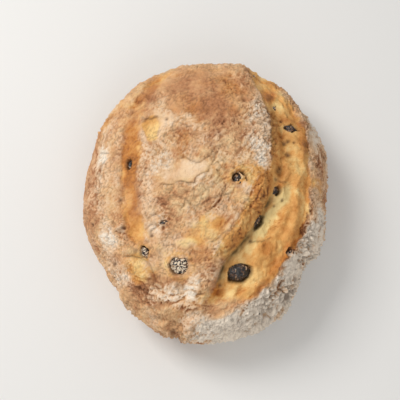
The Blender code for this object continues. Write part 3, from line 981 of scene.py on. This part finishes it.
def crust_cover(crust, pockets):
    """The material's numbers at each place. Flour runs from bare to caked, bake from pale to dark, gold from
    dry crust to moist torn dough, shade is painted shade from open to deep in a groove, and grain from even
    to specked."""
    x, y = crust.plan[:, 0], crust.plan[:, 1]
    shoulder = smooth_step(0.0, 6.0, -crust.before_lip) * (x > 8) * (1.0 - crust.torn)
    under = smooth_step(-1.0, 2.2, -crust.before_lip) * smooth_step(-2.0, -14.0, y)
    under *= smooth_step(-22.0, 14.0, x + 8.0 * crust.wander)
    under *= 1.0 - 0.75 * smooth_step(1.0, 1.4, crust.rim)
    under *= 0.92 + 0.7 * swell_noise(crust.form, 8.0, 55) - 0.4 * smooth_step(-30.0, -8.0, y)
    low = smooth_step(0.93, 1.08, crust.rim)
    even = 1.0 - 0.6 * np.clip(patches(crust, SMOOTH_SKIN), 0.0, 1.0)
    flour = 0.3 + 0.36 * even * layered_noise(crust.form, 11.0, 51, layers=3)
    flour = flour + patches(crust, FLOUR_PATCHES)
    flour += 0.4 * shoulder + 1.15 * under * (1.0 - crust.torn) + 0.1 * low
    # A paler band along the inside of the flake's lifted edge: a painted highlight, drawn as flour.
    flour += 0.5 * crust.flake.bead(0.9, 5.0, 0.9)
    bared = smooth_step(-9.0, -5.0, crust.lobe.past + crust.wander) * (crust.lobe.past < 1)
    bared = bared * smooth_step(-46.0, -34.0, y) * smooth_step(10.0, 2.0, y)
    flour -= 0.85 * crust.torn + 0.25 * pockets["rim"] + 0.5 * bared
    bake = 0.32 + 0.2 * even * layered_noise(crust.form, 9.0, 52, layers=3) + patches(crust, BAKE_PATCHES)
    # The lowest flank is darker, and the right shoulder gets a darker bake that is painted shade on the flank
    # away from the light.
    bake += 0.16 * smooth_step(1.2, 1.6, crust.rim) + 0.12 * shoulder * smooth_step(-60.0, -20.0, y)
    bake += 0.14 * bell(crust.ridge.past, 2.6) * smooth_step(-28.0, -36.0, y) * crust.torn
    gold = 0.1 + 0.25 * layered_noise(crust.form, 15.0, 53, layers=2) + patches(crust, GOLD_PATCHES)
    gold = gold + 0.85 * crust.torn + 0.35 * pockets["rim"] + 0.85 * bared
    broken = 0.6 + 0.9 * swell_noise(crust.form, 3.6, 54)
    # Painted shade: a dark olive along the crease at the lobe's foot, and fainter down the second groove.
    shade = 0.75 * bell(crust.crease.past - 0.2 + 0.5 * crust.wander, 0.9) * np.clip(broken, 0.1, 1.0)
    shade = (shade + 0.4 * bell(crust.crease.past - 0.8, 2.2)) * crust.crease.fade(9.0)
    groove = crust.groove.bead(1.5, 9.0)
    shade = np.maximum(shade, 0.35 * groove * np.clip(broken + 0.1, 0.0, 1.0))
    shade = np.maximum(shade, np.clip(patches(crust, PAINTED_SHADE_PATCHES), 0.0, 1.0))
    grain = 1.0 - 0.75 * np.clip(patches(crust, SMOOTH_SKIN), 0.0, 1.0)
    cover = {"flour": flour, "bake": bake, "gold": gold, "shade": shade, "grain": grain}
    return cover | {"crack": pockets["crack"], "hollow": pockets["hollow"]}


# Meshes.


def placed(name, data):
    """An object in the scene for a mesh, a light or a camera."""
    thing = bpy.data.objects.new(name, data)
    bpy.context.scene.collection.objects.link(thing)
    return thing


def mesh_object(name, points, faces, material, attributes):
    """A smooth mesh at the origin, with one number of each attribute at every point."""
    mesh = bpy.data.meshes.new(name)
    mesh.from_pydata((points * MM).tolist(), [], faces)
    mesh.shade_smooth()
    for key, values in attributes.items():
        layer = mesh.attributes.new(key, "FLOAT", "POINT")
        layer.data.foreach_set("value", np.asarray(values, np.float32))
    mesh.materials.append(material)
    return placed(name, mesh)


def make_loaf(frame, crust_material, raisin_material):
    """The loaf in one closed mesh, and a wrinkled berry in each pocket of it. Returns the shift from the
    form's own middle to the frame's."""
    crust = Crust()
    scales, cracked = crinkles(crust)
    lumps, hollow = wrinkles(crust)
    combed, combed_hollow = combed_wrinkles(crust)
    hollow = hollow + COMBED_HOLLOW * combed_hollow
    thin = crack_depth(crust)
    folded = swelling(crust) + split_relief(crust) + torn_relief(crust) + skin_edges(crust)
    folded = folded + flake_relief(crust) + folds(crust)
    fine = scales + lumps + combed + blisters(crust) - THIN_CRACK_DEPTH * thin
    folded = folded * smooth_step(*FOLD_FADE, crust.form[:, 2])
    fine = fine * smooth_step(*GRAIN_FADE, crust.form[:, 2])
    surface = crust.form + crust.falling * folded[:, None] + crust.outward * fine[:, None] + overhang(crust)
    low, high = (np.array(corner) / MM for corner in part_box("loaf"))
    shift = (low + high) / 2 - (surface.min(axis=0) + surface.max(axis=0)) / 2
    shift[2] = 0.0
    # How dark the crust is drawn: the bare crust in scale and thin cracks with painted shade in them, painted
    # shade in the combed grooves, and the painted shadow of edge_shadow.
    crack = np.maximum(SCALE_TONE * cracked, THIN_TONE * thin)
    crack = np.maximum(crack, COMBED_TONE * combed_hollow * (1.0 - crust.torn))
    crack = np.maximum(crack, edge_shadow(crust))
    pockets = {"rim": np.zeros(len(crack)), "crack": crack, "hollow": hollow}
    seats = [node for name, node in sorted(frame["nodes"].items()) if name != "loaf"]
    raisins = [Raisin(node, crust, surface, shift) for node in seats]
    for raisin in raisins:
        dip, inside, rim = raisin.pocket(crust)
        surface += crust.outward * dip[:, None]
        pockets["rim"] = np.maximum(pockets["rim"], rim)
        # The open part of each raisin's pocket is darkened: painted shade between crust and raisin.
        pockets["crack"] = np.maximum(pockets["crack"], inside)
    flat = crust.form[:, 2] <= 0.0
    surface[:, 2] = np.where(flat, 0.0, np.maximum(surface[:, 2], 0.0))
    cover = crust_cover(crust, pockets)
    loaf = mesh_object("loaf_crust", surface + shift, loaf_faces(crust.border), crust_material, cover)
    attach(loaf, "root")
    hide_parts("loaf")
    for raisin in raisins:
        points, faces, flour = raisin.berry()
        berry = mesh_object(f"{raisin.name}_skin", points + shift, faces, raisin_material, {"flour": flour})
        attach(berry, "root")
        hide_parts(raisin.name)
    return shift


# Materials.


def screen_colour(red, green, blue):
    """Linear colour from 0-255 screen values: the root of 2.4 power curve with its straight foot."""
    shares = (channel / 255.0 for channel in (red, green, blue))
    return [s / 12.92 if s <= 0.04045 else ((s + 0.055) / 1.055) ** 2.4 for s in shares] + [1.0]


class Finish:
    """One material, and short ways to add nodes to it."""

    def __init__(self, name):
        self.material = bpy.data.materials.new(name)
        self.material.use_nodes = True
        self.tree = self.material.node_tree
        self.shader = self.tree.nodes["Principled BSDF"]
        self.place = self.tree.nodes.new("ShaderNodeTexCoord").outputs["Object"]

    def join(self, value, socket):
        """A number or a colour is set on the socket, and another node's output is linked to it."""
        if isinstance(value, bpy.types.NodeSocket):
            self.tree.links.new(value, socket)
        else:
            socket.default_value = value

    def attribute(self, name):
        """One of the numbers that the mesh holds at each point."""
        node = self.tree.nodes.new("ShaderNodeAttribute")
        node.attribute_name = name
        return node.outputs["Fac"]

    def noise(self, size, detail=2.0, bend=0.0):
        """Noise whose lumps are about this many millimetres wide."""
        node = self.tree.nodes.new("ShaderNodeTexNoise")
        node.inputs["Scale"].default_value = 1.0 / (size * MM)
        node.inputs["Detail"].default_value = detail
        node.inputs["Distortion"].default_value = bend
        self.tree.links.new(self.place, node.inputs["Vector"])
        return node.outputs["Fac"]

    def sum(self, operation, first, second=0.0, third=0.0):
        """One step of arithmetic."""
        node = self.tree.nodes.new("ShaderNodeMath")
        node.operation = operation
        for value, socket in zip((first, second, third), node.inputs):
            self.join(value, socket)
        return node.outputs[0]

    def spread(self, base, noise, amount):
        """Base plus amount times noise about its middle."""
        return self.sum("ADD", base, self.sum("MULTIPLY", self.sum("SUBTRACT", noise, 0.5), amount))

    def rise(self, value, low, high, floor=0.0, top=1.0):
        """A smooth step from floor to top as the value goes from low to high."""
        node = self.tree.nodes.new("ShaderNodeMapRange")
        node.interpolation_type = "SMOOTHSTEP"
        for socket, amount in zip(node.inputs, (value, low, high, floor, top)):
            self.join(amount, socket)
        return node.outputs[0]

    def ramp(self, value, stops):
        """Colours by value. The first two stops are the ramp's own ends, and the rest lie between them."""
        node = self.tree.nodes.new("ShaderNodeValToRGB")
        points = node.color_ramp.elements
        for number, (position, colour) in enumerate(stops):
            point = points[number] if number < 2 else points.new(position)
            point.position = position
            point.color = colour
        self.join(value, node.inputs["Fac"])
        return node.outputs["Color"]

    def mix(self, share, first, second):
        """The first colour, with this share of the second."""
        node = self.tree.nodes.new("ShaderNodeMix")
        node.data_type = "RGBA"
        self.join(share, node.inputs["Factor"])
        self.join(first, node.inputs[6])
        self.join(second, node.inputs[7])
        return node.outputs[2]

    def bump(self, height, strength, distance):
        """Fine roughness from a height, whose whole range is this many millimetres."""
        node = self.tree.nodes.new("ShaderNodeBump")
        node.inputs["Strength"].default_value = strength
        node.inputs["Distance"].default_value = distance * MM
        self.tree.links.new(height, node.inputs["Height"])
        self.tree.links.new(node.outputs["Normal"], self.shader.inputs["Normal"])


CRUST_STOPS = (
    (0.0, screen_colour(244, 210, 160)),
    (1.0, screen_colour(128, 78, 44)),
    (0.4, screen_colour(222, 172, 124)),
    (0.7, screen_colour(188, 131, 90)),
)
TORN_STOPS = (
    (0.0, screen_colour(249, 218, 150)),
    (1.0, screen_colour(124, 72, 34)),
    (0.4, screen_colour(226, 168, 95)),
    (0.7, screen_colour(195, 126, 58)),
)
THIN_FLOUR = screen_colour(242, 208, 172)
CAKED_FLOUR = screen_colour(255, 243, 225)
# Dark olive of the painted shade in the grooves.
GROOVE_SHADE_COLOUR = screen_colour(112, 88, 48)
# The dark of the cracks: partly bare crust, partly painted shade.
CRACK_AND_SHADE_COLOUR = screen_colour(84, 54, 34)
# Raisin skin: near black with brown flecks, and pale flecks at the top of the ramp that are painted glints.
RAISIN_SKIN_AND_GLINT_STOPS = (
    (0.3, screen_colour(12, 9, 9)),
    (0.7, screen_colour(214, 184, 146)),
    (0.5, screen_colour(26, 19, 19)),
    (0.6, screen_colour(110, 72, 46)),
)
RAISIN_FLOUR = screen_colour(232, 212, 184)


def crust_finish():
    """Baked crust, torn dough and flour, mixed by the mesh's own numbers and broken up by noise."""
    finish = Finish("crust")
    coarse, middle, fine = finish.noise(4.5, 3.0), finish.noise(1.6, 2.0), finish.noise(0.7, 2.0)
    grain = finish.attribute("grain")
    crinkle = finish.sum("ABSOLUTE", finish.sum("SUBTRACT", finish.noise(4.2, 2.0, bend=0.4), 0.5))
    valley = finish.sum("MULTIPLY", finish.rise(crinkle, 0.0, 0.03, 1.0, 0.0), grain)
    bake = finish.spread(finish.attribute("bake"), coarse, finish.sum("MULTIPLY", grain, 0.36))
    bake = finish.spread(bake, fine, finish.sum("MULTIPLY", grain, 0.3))
    # Hollows and valleys are drawn browner: partly the bare crust in them, partly painted shade.
    hollow = finish.sum("MULTIPLY_ADD", valley, 0.08, finish.attribute("hollow"))
    bake = finish.sum("MULTIPLY_ADD", hollow, 0.5, bake)
    gold = finish.rise(finish.spread(finish.attribute("gold"), middle, 0.5), 0.1, 0.9)
    bare = finish.mix(gold, finish.ramp(bake, CRUST_STOPS), finish.ramp(bake, TORN_STOPS))
    flour = finish.spread(finish.attribute("flour"), middle, finish.sum("MULTIPLY", grain, 0.6))
    flour = finish.spread(flour, fine, finish.sum("MULTIPLY", grain, 0.5))
    # Less flour in the hollows: partly bare crust, partly painted shade.
    flour = finish.sum("MULTIPLY_ADD", hollow, -1.2, flour)
    dusted = finish.rise(flour, 0.0, 0.75, 0.0, 0.86)
    caked = finish.rise(flour, 0.6, 1.25)
    white = finish.mix(caked, THIN_FLOUR, CAKED_FLOUR)
    covered = finish.mix(dusted, bare, white)
    # Painted shade in the grooves and the dull patches.
    groove_shaded = finish.mix(finish.attribute("shade"), covered, GROOVE_SHADE_COLOUR)
    # The dark of the cracks, partly bare crust and partly painted shade.
    shade = finish.sum("MULTIPLY", finish.attribute("crack"), 0.8)
    colour = finish.mix(shade, groove_shaded, CRACK_AND_SHADE_COLOUR)
    finish.join(colour, finish.shader.inputs["Base Color"])
    rough = finish.sum("MULTIPLY_ADD", gold, -0.2, 0.8)
    rough = finish.sum("MULTIPLY_ADD", dusted, 0.2, rough)
    finish.join(rough, finish.shader.inputs["Roughness"])
    finish.shader.inputs["Specular IOR Level"].default_value = 0.35
    height = finish.sum("MULTIPLY_ADD", fine, 0.55, finish.sum("MULTIPLY", middle, 0.8))
    height = finish.sum("ADD", height, finish.rise(crinkle, 0.0, 0.06, 0.0, 0.18))
    rough_skin = finish.sum("MULTIPLY_ADD", grain, 0.6, 0.4)
    rough_skin = finish.sum("MULTIPLY", rough_skin, finish.sum("MULTIPLY_ADD", gold, -0.5, 1.0))
    finish.bump(finish.sum("MULTIPLY", height, rough_skin), 1.0, 1.0)
    return finish.material


def raisin_finish():
    """Raisin skin, nearly black, with brown flecks, pale flecks that are painted glints, and flour where it
    clings.
    """
    finish = Finish("raisin_skin")
    cast = finish.noise(1.3, 2.0)
    fine = finish.noise(0.45, 2.0)
    skin = finish.ramp(cast, RAISIN_SKIN_AND_GLINT_STOPS)
    flour = finish.rise(finish.spread(finish.attribute("flour"), fine, 0.5), 0.35, 0.75)
    finish.join(finish.mix(flour, skin, RAISIN_FLOUR), finish.shader.inputs["Base Color"])
    finish.join(finish.sum("MULTIPLY_ADD", flour, 0.5, 0.15), finish.shader.inputs["Roughness"])
    finish.shader.inputs["Specular IOR Level"].default_value = 0.8
    finish.bump(finish.sum("MULTIPLY_ADD", fine, 0.35, cast), 1.0, 0.9)
    return finish.material


# Stage.

AIM = (-0.33, -2.83, 25.0)
AZIMUTH = math.radians(-8.8)
ELEVATION = math.radians(75.0)
ROLL = math.radians(8.8)
DISTANCE = 463.0
LENS = 74.07
FRAMING = (-0.0125, 0.0075)
FLOOR_REACH = 12.0
LIGHT_AIM = (0.0, 0.0, 0.03)
SURROUND = 0.5

# Place and size in metres, power, and colour.
WINDOW = ((-0.5, 0.3, 0.72), 0.4, 4.8, (1.0, 0.985, 0.96))
FILL = ((0.05, -0.65, 0.6), 0.5, 1.2, (1.0, 0.99, 0.98))


def make_camera(shift):
    """Looks down steeply at the loaf from its -Y end, rolled so the loaf's length runs up the frame."""
    aim = (Vector(AIM) + Vector(shift)) * MM
    level = math.cos(ELEVATION)
    back = Vector((math.sin(AZIMUTH) * level, -math.cos(AZIMUTH) * level, math.sin(ELEVATION)))
    across = Vector((0.0, 0.0, 1.0)).cross(back).normalized()
    up = back.cross(across)
    right = across * math.cos(ROLL) + up * math.sin(ROLL)
    above = up * math.cos(ROLL) - across * math.sin(ROLL)
    lens = bpy.data.cameras.new("camera")
    lens.lens = LENS
    lens.shift_x, lens.shift_y = FRAMING
    lens.clip_start = 0.01
    camera = placed("camera", lens)
    turned = Matrix((right, above, back)).transposed().to_4x4()
    camera.matrix_world = Matrix.Translation(aim + back * DISTANCE * MM) @ turned
    bpy.context.scene.camera = camera


def soft_light(name, place, size, power, colour):
    """A square light that faces the loaf."""
    light = bpy.data.lights.new(name, "AREA")
    light.size = size
    light.energy = power
    light.color = colour
    place = Vector(place)
    turned = (Vector(LIGHT_AIM) - place).to_track_quat("-Z", "Y").to_matrix().to_4x4()
    placed(name, light).matrix_world = Matrix.Translation(place) @ turned


def make_stage():
    """A pale floor and soft light: a broad window to the upper left, a faint fill and a pale surround."""
    floor_mesh = bpy.data.meshes.new("floor")
    reach = FLOOR_REACH
    corners = [(-reach, -reach, 0.0), (reach, -reach, 0.0), (reach, reach, 0.0), (-reach, reach, 0.0)]
    floor_mesh.from_pydata(corners, [], [(0, 1, 2, 3)])
    floor = placed("floor", floor_mesh)
    paint = Finish("floor paint")
    paint.shader.inputs["Base Color"].default_value = (0.8, 0.79, 0.77, 1.0)
    paint.shader.inputs["Roughness"].default_value = 0.7
    floor_mesh.materials.append(paint.material)
    soft_light("window", *WINDOW)
    soft_light("fill", *FILL)
    world = bpy.data.worlds.new("surround")
    world.use_nodes = True
    world.node_tree.nodes["Background"].inputs["Color"].default_value = (1.0, 1.0, 1.0, 1.0)
    world.node_tree.nodes["Background"].inputs["Strength"].default_value = SURROUND
    bpy.context.scene.world = world
    bpy.context.scene.view_settings.view_transform = "Standard"


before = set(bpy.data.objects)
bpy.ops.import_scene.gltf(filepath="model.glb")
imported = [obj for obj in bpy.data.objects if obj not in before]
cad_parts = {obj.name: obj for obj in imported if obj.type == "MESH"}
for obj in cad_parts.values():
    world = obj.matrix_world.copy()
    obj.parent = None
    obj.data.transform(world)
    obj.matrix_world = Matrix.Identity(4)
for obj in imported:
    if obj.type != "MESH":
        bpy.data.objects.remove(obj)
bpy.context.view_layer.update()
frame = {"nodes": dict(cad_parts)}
middle_shift = make_loaf(frame, crust_finish(), raisin_finish())
make_camera(middle_shift)
make_stage()
